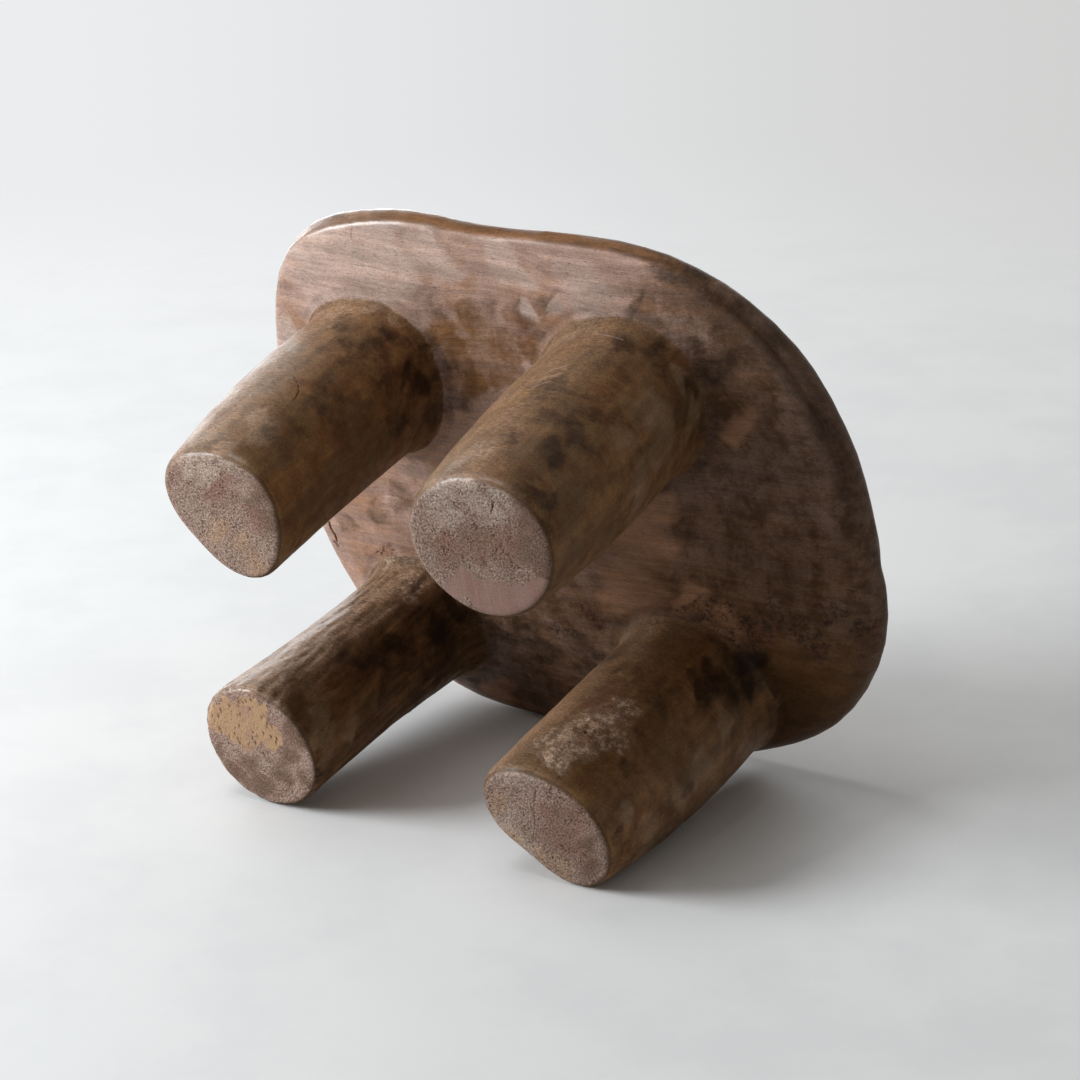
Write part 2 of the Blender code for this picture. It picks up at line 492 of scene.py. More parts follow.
# This mask serves only to paint shade into the hollow.
keep(skin, "groove", np.exp(-(distance / GROOVE_WIDTH) ** 2) * along_rim)
print("hollow pressed into", int((press > 0.0005).sum()), "points")

# %% [markdown]
# Wood that is handled and stood on wears unevenly. The edges of the feet are rounded most on one side,
# the side that faces the window lamp, and proud edges take a polish. The rounding is another few rounds
# of relaxing. Where the wood is worn, hollow, seat or leg is stored as a number at each point, which both
# the materials and the node trees below can read. The masks of worn edges and of the legs' paler sides
# keep to the side that faces the lamp, so the pale tints they give are partly painted light.

# %% Worn edges
FOOT_ROUNDS = 10
FOOT_HEIGHT = 0.02
FOOT_EDGE = 0.012
RIM_HEIGHT = 0.187
SOLE_HEIGHT = 0.014
SEAT_FROM = (0.166, 0.172)
BACK_CORNER = (0.02, 0.05)
WORN_AND_LIT_SIDE = np.array((-0.62, -0.74, -0.25))


def kept(mesh, name):
    values = np.empty(len(mesh.vertices), dtype=np.float32)
    mesh.attributes[name].data.foreach_get("value", values)
    return values.astype(float)


def sole_mask(mesh):
    points = points_of(mesh)
    return ease(-normals_of(mesh)[:, 2], 0.72, 0.94) * ease(SOLE_HEIGHT - points[:, 2], 0, 0.006)


points = points_of(skin)
worn_side = ease(normals_of(skin) @ WORN_AND_LIT_SIDE, 0.0, 0.6)
foot_edge = ease(-bend_of(skin, 4), 0.01, 0.03) * ease(FOOT_EDGE - points[:, 2], 0, 0.004) * worn_side
move_points(skin, relax(points, edge_ends(skin), 0.5 * foot_edge, FOOT_ROUNDS))

normals = normals_of(skin)
bend = bend_of(skin, 6)
on_seat = ease(points[:, 2], *SEAT_FROM)
keep(skin, "rim", on_seat * ease(0.8 - np.abs(normals[:, 2]), 0, 0.3))
keep(skin, "top", on_seat * ease(normals[:, 2], 0.3, 0.7))
rear_left = ease(-points[:, 0], *BACK_CORNER) * ease(points[:, 1], *BACK_CORNER)
keep(skin, "furrow", kept(skin, "leg") * rear_left)
# The worn-edge mask keeps only the foot edges that face the window lamp and leaves out the right end and the
# seat right of the middle, where the edge turns from the light, so its pale tint is partly a painted glint.
at_foot = ease(FOOT_HEIGHT - points[:, 2], 0, 0.006)
unworn = at_foot * (1 - ease(normals @ WORN_AND_LIT_SIDE, 0.1, 0.7))
unworn = np.maximum(unworn, 0.85 * at_right * ease(RIM_HEIGHT - points[:, 2], 0, 0.004))
unworn = np.maximum(unworn, 0.7 * on_seat * ease(points[:, 0], -0.02, 0.08))
keep(skin, "wear_and_glint", ease(-bend, 0.018, 0.05) * (1 - unworn))
# This mask is the side of each leg that faces the window lamp: the pale tint it gives is painted light, over
# fibres worn pale.
to_lit_and_worn_side = normals @ WORN_AND_LIT_SIDE + 0.35 * rear_left
keep(skin, "lit_and_rubbed", kept(skin, "leg") * ease(to_lit_and_worn_side, 0.40, 0.95))
keep(skin, "hollow", ease(bend, 0.005, 0.02))
keep(skin, "sole", relax(sole_mask(skin), edge_ends(skin), 0.5, 3))
for label in ("wear_and_glint", "sole"):
    print(label, "points:", int((kept(skin, label) > 0.5).sum()))

# %% [markdown]
# Cracks, slots and small holes are thinner than the skin's faces, so the faces near them are first cut
# finer. The same is done on the soles, whose worn end grain is full of pores. Cutting all faces so small
# would make a mesh many times too heavy.

# %% Finer faces where small marks go
CRACKS = {
    "front check": (((352, 220), (353, 227), (351, 234), (352, 240)), 0.16, 0.35),
    "left end split": (((325, 518), (329, 523), (331, 529), (335, 535), (337, 542)), 0.55, 2.2),
    "left end chip": (((334, 541), (339, 547)), 0.5, 1.2),
    "front left leg notch": (((293, 375), (298, 383), (299, 391), (296, 398), (291, 402)), 0.26, 0.6),
    "front left leg check": (((407, 401), (418, 393)), 0.2, 0.4),
    "front ridge crack": (((644, 266), (651, 267), (659, 267)), 0.22, 0.5),
    "front right leg check": (((630, 424), (644, 442), (652, 446), (664, 458)), 0.15, 0.3),
    "front right sole crack": (((494, 502), (492, 508), (491, 514)), 0.3, 0.8),
    "rear right sole crack": (((536, 781), (535, 795), (534, 806), (535, 822), (533, 840)), 0.2, 0.5),
    "rear left root marks": (((375, 554), (379, 551), (381, 554), (385, 551)), 0.25, 0.6),
    "rear left root mark": (((390, 549), (395, 551)), 0.25, 0.6),
    "rear right leg hole": (((585, 731), (586, 732)), 0.8, 2.0),
    "right end hole": (((852, 592), (853, 592)), 0.5, 1.0),
}
SCRATCHES = {
    "underside scratch": ((385, 496), (398, 498), (413, 500)),
    "left end nick": ((309, 290), (312, 296)),
    "root scratch 1": ((543, 374), (554, 369), (566, 366)),
    "root scratch 2": ((540, 380), (551, 376), (562, 373)),
    "root scratch 3": ((596, 334), (610, 336), (623, 340)),
    "root scratch 4": ((532, 388), (541, 384), (551, 381)),
}
SCRATCH_WIDTH = 0.00028
FINE_REACH = 0.003
FINE_EDGE = 0.0007
FINE_ROUNDS = 6


def cut_finer(mesh, wanted, cuts):
    """Cut the wanted faces of a mesh into smaller ones."""
    bm = bmesh.new()
    bm.from_mesh(mesh)
    bm.edges.ensure_lookup_table()
    edges = dict.fromkeys(edge for face, chosen in zip(bm.faces, wanted) if chosen for edge in face.edges)
    bmesh.ops.subdivide_edges(bm, edges=list(edges), cuts=cuts, use_grid_fill=True)
    bm.to_mesh(mesh)
    bm.free()


middles = vectors(skin.polygons, "center")
fine = np.zeros(len(middles), dtype=bool)
for pixels, _, _ in CRACKS.values():
    fine |= path_distance(middles, pixels)[0] < FINE_REACH
for pixels in SCRATCHES.values():
    fine |= path_distance(middles, pixels)[0] < 0.5 * FINE_REACH
sole_faces = sole_mask(skin) > 0.05
on_sole = np.array([sole_faces[list(p.vertices)].all() for p in skin.polygons])
cut_finer(skin, fine | on_sole, 3)
ends = edge_ends(skin)
points = points_of(skin)
lengths = np.linalg.norm(points[ends[0]] - points[ends[1]], axis=1)
count = len(points)
total = np.bincount(ends[0], lengths, count) + np.bincount(ends[1], lengths, count)
edges_met = np.bincount(ends[0], minlength=count) + np.bincount(ends[1], minlength=count)
mean_edge = total / np.maximum(edges_met, 1)
points = relax(points, ends, 0.5 * (mean_edge < FINE_EDGE), FINE_ROUNDS)
move_points(skin, points)
print("skin with fine faces:", len(skin.vertices), "points")

# %% [markdown]
# The wood has dried for years, and it has split a little at its ends and been nicked in use. Each crack
# is a path through a few pixels. Points near the path are pushed inwards, least at its two ends, and a
# slow waver keeps its edges from being ruled. A shallow crack isn't as black as a deep one, so the
# darkness goes by the depth. Scratches are only light marks in the colour.

# %% Cracks and holes
FULL_DARK = 0.8
CRACK_WAVER = 0.00008
CRACK_WAVES = (1900, 2300, 2100)

points = points_of(skin)
normals = normals_of(skin)
crack = np.zeros(len(points))
for pixels, width, depth in CRACKS.values():
    distance, share = path_distance(points, pixels)
    distance = distance + CRACK_WAVER * np.sin(points * CRACK_WAVES).sum(1)
    tapered = ease(share, -0.3, 0.3) * ease(1 - share, -0.3, 0.3)
    mark = np.exp(-np.maximum(distance / (width * MM), 0) ** 2) * tapered
    points = points - normals * (mark * depth * MM)[:, None]
    crack = np.maximum(crack, mark * min(1, depth / FULL_DARK))
move_points(skin, points)
keep(skin, "crack", crack)
scratch = np.zeros(len(points))
for pixels in SCRATCHES.values():
    scratch = np.maximum(scratch, np.exp(-(path_distance(points, pixels)[0] / SCRATCH_WIDTH) ** 2))
keep(skin, "scratch", scratch)
print("crack points:", int((crack > 0.5).sum()))

# %% [markdown]
# The feet stand on earth and stone for years, so their end grain is open: pits between the fibres, some
# of them run together. Geometry Nodes press the pits in by a cell pattern, and only where the sole's mask
# says. The same tree lifts the rough crust on two of the legs and draws the furrows down the rear left
# one. It also stores how deep each pit is, for the material.

# %% Worn soles, crust and furrows


def weathered_tree():
    tree, wires = geometry_tree("weathered", {
        "Pit Size": 0.0014, "Pit Depth": 0.0008, "Grit": 0.0004, "Crust Size": 0.005, "Crust Height": 0.0020,
        "Furrow Size": 0.006, "Furrow Depth": 0.0008})
    base = Wire(tree)
    place = base.make("GeometryNodeInputPosition")

    def named(name):
        return base.make("GeometryNodeInputNamedAttribute", {"data_type": "FLOAT"}, {"Name": name})

    sole = named("sole")
    raw = named("raw").step(0.05, 0.3)
    smooth = (1 - 0.9 * named("sawn").step(0.0, 0.3)) * (1 - 0.7 * named("brown").step(0, 0.5))
    open_grain = sole * smooth * (1 - 0.6 * raw)
    clusters = place.noise(1 / (5 * wires["Pit Size"]), detail=2.0).step(0.42, 0.60)
    fields = place.noise(1 / (10 * wires["Pit Size"]), detail=2.0).step(0.36, 0.56)
    pits = 1 - place.cells(1 / wires["Pit Size"]).step(0.10, 0.48)
    slots = 1 - place.stretch(1, 0.28, 1).cells(0.75 / wires["Pit Size"]).step(0.10, 0.36)
    slot_clusters = place.noise(0.25 / wires["Pit Size"]).step(0.40, 0.54)
    pits = pits * clusters * (0.4 + 0.6 * fields) * open_grain + slots * slot_clusters * raw * sole
    grit = (place.noise(1.3 / wires["Pit Size"], detail=3.0, roughness=0.65) - 0.5) * open_grain
    lumps = place.noise(1 / wires["Crust Size"], detail=4.0, roughness=0.65) - 0.5
    lumps = lumps * named("rough").step(0, 0.5)
    lines = place.stretch(1, 1, 0.12).noise(1 / wires["Furrow Size"], detail=3.0, roughness=0.6)
    lines = lines.step(0.42, 0.62)
    height = grit * wires["Grit"] * 2 - pits * wires["Pit Depth"] + lumps * wires["Crust Height"] * 2
    height = height - lines * named("furrow") * (1 - sole) * wires["Furrow Depth"]
    moved = pushed(wires["Geometry"], height)
    stored = base.make("GeometryNodeStoreNamedAttribute", {"data_type": "FLOAT", "domain": "POINT"},
                       {"Geometry": moved, "Name": "pit", "Value": pits})
    finish_tree(tree, stored, wires["Material"])
    return tree


weathered = weathered_tree()
print("weathering nodes:", len(weathered.nodes))

# %% [markdown]
# Smoke, oil, hands and earth have coloured this stool unevenly, and no noise pattern would put the stains
# where they are. Not every patch is a stain. The dark and black spots are partly painted shadow, where the
# front legs shade the underside and on the shaded sides of the legs. The pale spots are partly painted
# light and painted highlights on the root fillets, the russet ones partly painted light thrown up from the
# floor, and the golden ones partly a painted sheen. Each patch is a spot at a pixel with a radius in
# millimetres, and the spots of one kind run together into one mask. The waves in the mask and the noise in
# the material give them their ragged edges.

# %% Stains, worn places, and painted light and shade
PATCHES = {
    "dark": (
        (420, 375, 26), (400, 415, 20), (325, 405, 18), (350, 340, 12), (440, 405, 20), (460, 400, 12),
        (395, 395, 16), (432, 372, 12), (340, 328, 12), (270, 432, 10), (630, 312, 10), (575, 425, 18),
        (555, 457, 16), (590, 412, 14), (530, 495, 12), (540, 532, 9), (510, 440, 8), (552, 410, 20),
        (550, 385, 18), (562, 398, 22), (545, 385, 12), (665, 270, 14), (692, 278, 14), (625, 345, 12),
        (690, 385, 9), (625, 768, 11), (617, 837, 8), (685, 792, 8), (660, 705, 12), (700, 700, 14),
        (860, 630, 11), (415, 597, 14), (690, 672, 10), (620, 668, 12), (550, 652, 14), (590, 665, 16),
        (500, 632, 14), (440, 645, 30), (402, 615, 14), (365, 660, 18), (390, 680, 20), (427, 680, 24),
        (472, 605, 18), (500, 640, 14), (530, 635, 18), (385, 640, 16), (380, 352, 18), (380, 380, 20),
        (392, 402, 14), (402, 340, 10), (446, 396, 10), (660, 356, 16), (692, 272, 19), (735, 676, 28),
        (725, 356, 24), (610, 655, 20), (578, 640, 16), (312, 778, 11), (345, 318, 10), (634, 672, 13),
        (600, 656, 11)),
    "black": (
        (742, 668, 17), (757, 662, 12), (712, 686, 16), (698, 694, 9), (728, 688, 14), (420, 385, 13),
        (405, 372, 9), (440, 636, 14), (408, 662, 18), (458, 614, 12), (712, 672, 12), (748, 688, 11)),
    "smoke": (
        (432, 316, 20), (455, 335, 14), (490, 312, 12), (520, 312, 12), (547, 307, 12), (355, 260, 10),
        (375, 515, 15), (400, 500, 16), (345, 520, 14), (415, 470, 12), (740, 545, 16)),
    "amber": (
        (490, 350, 24), (478, 330, 18), (510, 368, 18), (475, 388, 18), (458, 350, 16), (500, 372, 16),
        (440, 332, 18), (530, 350, 12)),
    "russet": (
        (640, 540, 34), (630, 585, 34), (665, 512, 18), (605, 535, 28), (690, 604, 20), (720, 622, 20),
        (740, 430, 16), (765, 716, 15), (496, 690, 18)),
    "pale": (
        (290, 337, 20), (257, 365, 18), (225, 397, 18), (207, 430, 18), (475, 452, 18), (377, 592, 18),
        (345, 615, 20), (302, 645, 22), (252, 675, 20), (330, 630, 20), (410, 588, 12), (310, 690, 14),
        (575, 735, 16), (560, 755, 13), (610, 717, 15), (590, 750, 13), (325, 277, 50), (387, 268, 34),
        (375, 235, 28), (437, 260, 24), (505, 266, 22), (590, 292, 26), (300, 660, 22), (270, 682, 20),
        (325, 640, 14), (640, 500, 14), (370, 309, 9), (345, 302, 8), (392, 321, 7), (530, 310, 9),
        (553, 304, 8), (484, 674, 22), (500, 702, 18), (228, 448, 11), (212, 456, 9)),
    "golden": (
        (702, 760, 18), (680, 800, 14), (650, 825, 16), (725, 725, 12), (640, 855, 12), (650, 405, 22),
        (692, 420, 14), (655, 462, 14), (628, 815, 12), (630, 735, 10), (665, 440, 18), (640, 480, 16),
        (320, 722, 16), (330, 752, 16), (350, 732, 14), (680, 380, 12), (620, 440, 16)),
    "ruddy": ((620, 685, 16), (640, 668, 14), (600, 705, 14), (585, 735, 12), (520, 330, 14)),
    "rough": (
        (575, 735, 18), (600, 722, 17), (558, 757, 14), (612, 742, 13), (620, 705, 12), (385, 553, 10),
        (410, 592, 14)),
    "crust": (
        (668, 622, 10), (690, 618, 14), (720, 620, 18), (760, 625, 18), (806, 632, 16), (862, 622, 12),
        (690, 640, 14), (735, 645, 16), (835, 612, 12), (560, 630, 9), (600, 625, 8)),
    "raw": (
        (228, 712, 13), (246, 716, 14), (262, 730, 13), (236, 732, 14), (252, 740, 11), (220, 722, 11),
        (272, 738, 9)),
    "sawn": ((455, 586, 10), (478, 594, 13), (502, 600, 13), (524, 602, 13), (540, 596, 9)),
    "ashen": (
        (440, 492, 14), (470, 490, 14), (500, 488, 12), (450, 512, 12), (490, 510, 12), (205, 468, 12),
        (225, 452, 12), (190, 470, 10), (515, 772, 14), (530, 762, 15), (430, 490, 14), (508, 478, 12),
        (505, 820, 14), (512, 832, 12), (530, 852, 14)),
    "ochre": (
        (239, 545, 14), (222, 531, 12), (260, 566, 14), (501, 802, 12), (515, 837, 13), (540, 858, 13),
        (561, 868, 12)),
    "red": (
        (450, 548, 17), (475, 546, 18), (500, 546, 17), (561, 837, 20), (575, 816, 16), (582, 851, 15),
        (550, 816, 14), (215, 488, 14), (255, 520, 13)),
    "brown": (
        (237, 772, 13), (262, 787, 15), (215, 750, 9), (290, 758, 12), (298, 740, 10), (280, 775, 13),
        (250, 765, 12), (305, 780, 11), (536, 500, 17), (540, 522, 22), (542, 548, 24), (546, 574, 17),
        (262, 492, 15), (269, 516, 13), (294, 734, 13), (588, 845, 11), (590, 868, 10)),
}
points = points_of(skin)
for label, spots in PATCHES.items():
    keep(skin, label, patch_mask(points, spots))
skin = run_tree(weathered, skin, "skin", {"Material": wood})
print("patches:", {label: int((kept(skin, label) > 0.3).sum()) for label in PATCHES})

# %% [markdown]
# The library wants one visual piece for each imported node, so the carving is parted again. A level cut
# just under the roots keeps each fillet whole on the seat, and flat caps close the pieces. The cut hardly
# shows, because the points on its two sides are the same and so are the stored numbers.

# %% Part the carving at the roots
CUT_HEIGHT = 0.158


def part_pieces(mesh):
    """The seat and the four legs, cut level just under the roots and closed with flat caps."""
    bm = bmesh.new()
    bm.from_mesh(mesh)
    everything = bm.verts[:] + bm.edges[:] + bm.faces[:]
    bmesh.ops.bisect_plane(bm, geom=everything, dist=1e-7, plane_co=(0, 0, CUT_HEIGHT), plane_no=(0, 0, 1))
    places = {"seat": lambda c: c.z > CUT_HEIGHT}
    for name in LEG_NAMES:
        low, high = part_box(name)
        corner = (low[0] + high[0] < 0, low[1] + high[1] < 0)
        places[name] = lambda c, corner=corner: c.z < CUT_HEIGHT and (c.x < 0, c.y < 0) == corner
    for name, inside in places.items():
        piece = bm.copy()
        outside = [face for face in piece.faces if not inside(face.calc_center_median())]
        bmesh.ops.delete(piece, geom=outside, context="FACES")
        rim = [edge for edge in piece.edges if edge.is_boundary]
        bmesh.ops.triangle_fill(piece, edges=rim, use_beauty=True)
        bmesh.ops.recalc_face_normals(piece, faces=piece.faces)
        made = bpy.data.meshes.new(name)
        for face in piece.faces:
            face.smooth = True
        for edge in rim:
            edge.smooth = False
        piece.to_mesh(made)
        piece.free()
        yield name, made
    bm.free()


pieces = {}
for name, mesh in part_pieces(skin):
    pieces[name] = new_object(f"carved_{name}", mesh)
    print(name, len(mesh.polygons), "faces")

# %% [markdown]
# One timber runs through the whole stool, so one material serves every piece. Its grain lies along the
# seat's length and is taken from object coordinates, which makes streaks on the flat faces and pores on
# the soles. The masks stored above are read by name, and a slow wobble keeps the grain from running ruler
# straight.

# %% Grain
wood.use_nodes = True
tree = wood.node_tree
shader = tree.nodes["Principled BSDF"]
shader.inputs["Specular IOR Level"].default_value = 0.07
shader.inputs["Coat Roughness"].default_value = 0.22
start = Wire(tree)
place = start.make("ShaderNodeTexCoord", output="Object")
length = start.make("ShaderNodeSeparateXYZ", None, {0: place}, output=0)
depth = start.make("ShaderNodeSeparateXYZ", None, {0: place}, output=1)
MASKS = ("wear_and_glint", "hollow", "sole", "crack", "scratch", "pit", "rim", "top", "leg", "right", "groove",
         "furrow", "lit_and_rubbed", *PATCHES)
mask = {name: start.make("ShaderNodeAttribute", {"attribute_name": name}, output="Fac") for name in MASKS}

slow = {"Vector": place, "Scale": 9.0, "Detail": 1.0}
wobble = place.make("ShaderNodeTexNoise", None, slow, output="Color")
centred = start.vector("SUBTRACT", {0: wobble, 1: (0.5, 0.5, 0.5)})
grain = start.vector("MULTIPLY_ADD", {0: centred, 1: (0, 0.02, 0.02), 2: place})
print("masks read:", len(mask))

# %% [markdown]
# No single pattern looks like old wood. Stretched noise gives streaks, fibres and strokes along the
# grain, and plain noise gives clouds, blotches and specks of dirt. Each is squeezed to a number from 0 to
# 1, so that the colours below can use it as a share.

# %% Grain and dirt patterns
streaks = grain.stretch(1, 12, 12).noise(11.0, detail=9.0, roughness=0.70).step(0.34, 0.66)
fibres = grain.stretch(1, 5, 5).noise(330.0, detail=4.0, roughness=0.70).step(0.38, 0.62)
strokes = grain.stretch(1, 6, 6).noise(120.0, detail=5.0, roughness=0.70).step(0.48, 0.60)
cloud_noise = place.stretch(1, 1, 0.6).noise(26.0, detail=9.0, roughness=0.72)
clouds = cloud_noise.step(0.42, 0.58)
blotch_noise = place.noise(70.0, detail=8.0, roughness=0.74)
blotch = blotch_noise.step(0.40, 0.60)
ragged = 2.0 * (cloud_noise + blotch_noise - 1.0)
crumbs = place.noise(260.0, detail=7.0, roughness=0.75).step(0.46, 0.60)
drips = place.stretch(1, 0.2, 1).noise(95.0, detail=5.0, roughness=0.6).step(0.40, 0.60)
lines = grain.stretch(1, 34, 34).noise(12.0, detail=5.0, roughness=0.62).step(0.40, 0.60)
sweeps = place.stretch(1, 1, 0.14).noise(75.0, detail=6.0, roughness=0.6).step(0.38, 0.62)
runs = place.stretch(1, 0.4, 1).noise(46.0, detail=9.0, roughness=0.72).step(0.44, 0.62)
speck = place.noise(900.0, detail=3.0, roughness=0.65).step(0.36, 0.64)
flecks = grain.stretch(1, 3, 3).noise(520.0, detail=2.0).step(0.59, 0.68)
furrows = place.stretch(1, 1, 0.12).noise(1 / 0.006, detail=6.0, roughness=0.68).step(0.42, 0.60)
across = start.math("ABSOLUTE", grain.stretch(1, 9, 9).noise(13.0, detail=3.0) - 0.5)
hairs = (1 - across.step(0.001, 0.007)) * runs
print("with the patterns:", len(tree.nodes), "nodes")

# %% [markdown]
# Two patterns run round instead of along: the year rings about the pith, and the scrapes that a blade
# left as it followed the round edge of the seat. Both start from a distance rather than from a place.

# %% Rings and scrapes
PITH = (0.0, 0.03, 0.30)
RING_STEP = 0.0065

from_pith = start.vector("ADD", {0: grain.stretch(0, 1, 1), 1: PITH})
ring_reach = start.vector("LENGTH", {0: from_pith}, output=1)
ring_shift = grain.stretch(1, 3, 3).noise(5.0, detail=2.0)
rings = 0.5 + 0.5 * start.math("SINE", ring_reach * (TURN / RING_STEP) + 16.0 * ring_shift)
flat_place = place.stretch(1, 1.17, 0)
outward = start.vector("NORMALIZE", {0: flat_place})
span = start.vector("LENGTH", {0: flat_place}, output=1)
round_place = start.make("ShaderNodeCombineXYZ", None, {"Z": span * 75.0})
round_place = start.vector("ADD", {0: round_place, 1: outward.stretch(2.2, 2.2, 0)})
scrapes = round_place.noise(1.0, detail=8.0, roughness=0.68).step(0.36, 0.64)
on_leg = (mask["leg"] + 0.25 * (blotch - 0.5)).step(0.25, 0.75)
print("with rings and scrapes:", len(tree.nodes), "nodes")

# %% [markdown]
# The underside is pale, dry wood at the left end, warm brown between the legs and nearly black at the
# right end. Painted light makes the left end paler still, and painted shade darkens the right end and the
# rear, for the light falling off and for the legs' shadows. The rim is brown, and the top, which hands and
# clothes have oiled, is dark and even. The colours are laid over each other as a painter would: each tint
# goes over the last by a share.

# %% Seat colour
SEAT_TONE = (0.420, 0.275, 0.218, 1)
SEAT_WARM = (0.340, 0.175, 0.095, 1)
SEAT_DEEP_AND_SHADE = (0.066, 0.032, 0.014, 1)
SEAT_EARTH_AND_SHADE = (0.074, 0.033, 0.010, 1)
SEAT_SMOKE = (0.115, 0.066, 0.042, 1)
RIM_TONE = (0.175, 0.076, 0.026, 1)
TOP_TONE = (0.155, 0.078, 0.037, 1)
TOP_DARK = (0.060, 0.031, 0.016, 1)
SEAT_AMBER = (0.190, 0.088, 0.033, 1)
SEAT_RUSSET_AND_LIGHT = (0.345, 0.178, 0.100, 1)
STAIN_AND_SHADE = (0.016, 0.009, 0.006, 1)
CRUST_RED = (0.110, 0.044, 0.026, 1)
DUST_AND_LIGHT = (0.60, 0.465, 0.405, 1)


def spread(name, soft=0.7, floor=0.2, rag=1.0):
    """A patch mask with a ragged edge, broken up by the blotches and clouds."""
    patch = (mask[name].step(0.0, 0.9) + rag * ragged * mask[name].step(0.0, 0.1)).step(0.1, 0.1 + soft)
    return patch * (floor + (1 - floor) * 0.5 * (blotch + clouds))


def laid(colour, *layers):
    """A colour with layers over it in turn: a tone and its share, or a number to multiply it by."""
    for layer in layers:
        colour = colour.tint(*layer) if isinstance(layer, tuple) else colour.shade(layer)
    return colour


# Painted shade: the underside gets darker towards its right end and its rear corner, for the light that
# falls off away from the window lamp and for the legs' shadows, over a darker wood.
right_end = (length + 0.8 * depth + 0.05 * (clouds - 0.5)).step(-0.09, 0.06) * (0.80 + 0.20 * blotch)
earthy_and_shaded = 0.8 * length.step(0.0, 0.12) * depth.step(0.0, 0.1)
rim_share = 0.92 * mask["rim"] * (1 - 0.95 * mask["right"])
top_colour = (0.6 * clouds * blotch + 0.8 * span.step(0.11, 0.2)).blend(TOP_TONE, TOP_DARK)
top_colour = top_colour.shade(1.15 - 0.5 * rings * streaks)
seat_colour = laid(
    (clouds * (0.2 + 0.6 * streaks)).blend(SEAT_TONE, SEAT_WARM),
    (SEAT_SMOKE, 0.24 * runs * (0.3 + 0.7 * blotch)),
    (SEAT_SMOKE, 0.82 * spread("smoke", soft=1.2, floor=0.4, rag=0.5)),
    # Pale patches: painted light on the lit left end of the underside, painted highlights on the root
    # fillets and painted light thrown up from the floor near the lower rim, over dusty wood.
    (DUST_AND_LIGHT, 0.66 * spread("pale", soft=1.0, floor=0.5, rag=0.5)),
    (SEAT_DEEP_AND_SHADE, right_end * (0.86 + 0.14 * scrapes) * (1 - 0.5 * mask["top"])),
    (SEAT_EARTH_AND_SHADE, earthy_and_shaded * (1 - mask["top"])),
    # Russet patches: a warmer, lighter brown that stands partly for painted light thrown up from the floor
    # into shaded places of the underside.
    (SEAT_RUSSET_AND_LIGHT, 0.85 * spread("russet", soft=1.3, floor=0.7, rag=0.3)),
    (SEAT_AMBER, 0.95 * spread("amber", soft=1.1, floor=0.8, rag=0.6)),
    1 - 0.3 * spread("amber", soft=1.2, floor=0.6, rag=0.4) * drips,
    # Painted shade: the carved hollow inside the right rim is darkened along its length.
    (STAIN_AND_SHADE, 0.6 * mask["groove"] * (0.6 + 0.4 * scrapes)),
    (RIM_TONE, rim_share),
    # Painted shade: the rim round the right end is darker, as it faces away from the window lamp.
    1 - 0.10 * mask["rim"] * mask["right"],
    1 - 0.6 * rim_share * (1 - streaks) * blotch,
    (top_colour, 0.9 * mask["top"]),
    1.05 - 0.12 * rings,
    (SEAT_SMOKE, 0.55 * hairs * (1 - mask["rim"])),
    (CRUST_RED, 0.6 * mask["crust"].step(0, 0.5) * clouds),
    (STAIN_AND_SHADE, 0.75 * mask["crust"].step(0, 0.5) * crumbs),
)
print("with the seat colour:", len(tree.nodes), "nodes")

# %% [markdown]
# The legs are browner than the seat. The sides that face the window lamp are painted paler, as light,
# over fibres worn pale, the golden spots are partly a painted sheen, two of the legs carry a crust of old
# paint or earth, and the rear left one is furrowed.

# %% Leg colour
LEG_TONE = (0.232, 0.120, 0.049, 1)
LEG_RED = (0.168, 0.074, 0.031, 1)
LEG_GREY = (0.105, 0.070, 0.041, 1)
LEG_DARK = (0.045, 0.024, 0.012, 1)
LEG_WORN_AND_LIT = (0.415, 0.272, 0.182, 1)
LEG_GOLD_AND_SHEEN = (0.300, 0.198, 0.120, 1)
CRUST_PALE = (0.60, 0.425, 0.300, 1)

# Painted light: the legs' lit sides and the pale spots on the lit tops of the front left and rear left legs
# are made paler, over some worn wood.
lit_and_rubbed = (0.5 + 0.35 * mask["furrow"]) * mask["lit_and_rubbed"]
worn_and_lit_spots = spread("pale", soft=1.2, floor=0.5, rag=0.4) * (0.5 + 0.5 * fibres)
crusted = mask["rough"].step(0, 0.5)
leg_colour = laid(
    blotch.blend(LEG_TONE, LEG_RED),
    (LEG_GREY, 0.6 * clouds * (1 - 0.5 * blotch)),
    (LEG_DARK, 0.45 * runs * (0.4 + 0.6 * blotch)),
    (LEG_DARK, mask["furrow"] * (0.08 + 0.50 * furrows)),
    # Golden spots: a warm brown made cooler as a painted sheen of the bright room on the leg faces turned to
    # the right.
    (LEG_GOLD_AND_SHEEN, 0.75 * spread("golden", soft=1.3, floor=0.5, rag=0.4)),
    (LEG_WORN_AND_LIT, lit_and_rubbed * (0.4 + 0.6 * fibres) * (0.5 + 0.5 * blotch)),
    (LEG_WORN_AND_LIT, 0.66 * worn_and_lit_spots),
    (CRUST_RED, 0.75 * crusted * (1 - blotch)),
    (CRUST_PALE, 0.95 * crusted * (0.25 + 0.75 * crumbs) * (0.6 + 0.4 * clouds)),
    1 - (0.06 + 0.24 * mask["lit_and_rubbed"]) * strokes,
    1 + 0.34 * (sweeps - 0.5),
)
print("with the leg colour:", len(tree.nodes), "nodes")

# %% [markdown]
# Stains, and the painted shadow in the dark and black spots, don't stop at a root, so they are laid after
# the seat and the legs are joined into one colour. Fine marks come last: streaks, fibres and specks make
# the tone lighter and darker by a little, worn edges take dust and, on the side that faces the window
# lamp, a painted glint, and hollows are painted darker as shade.

# %% Stains and painted shade over seat and legs
RUDDY = (0.150, 0.062, 0.030, 1)

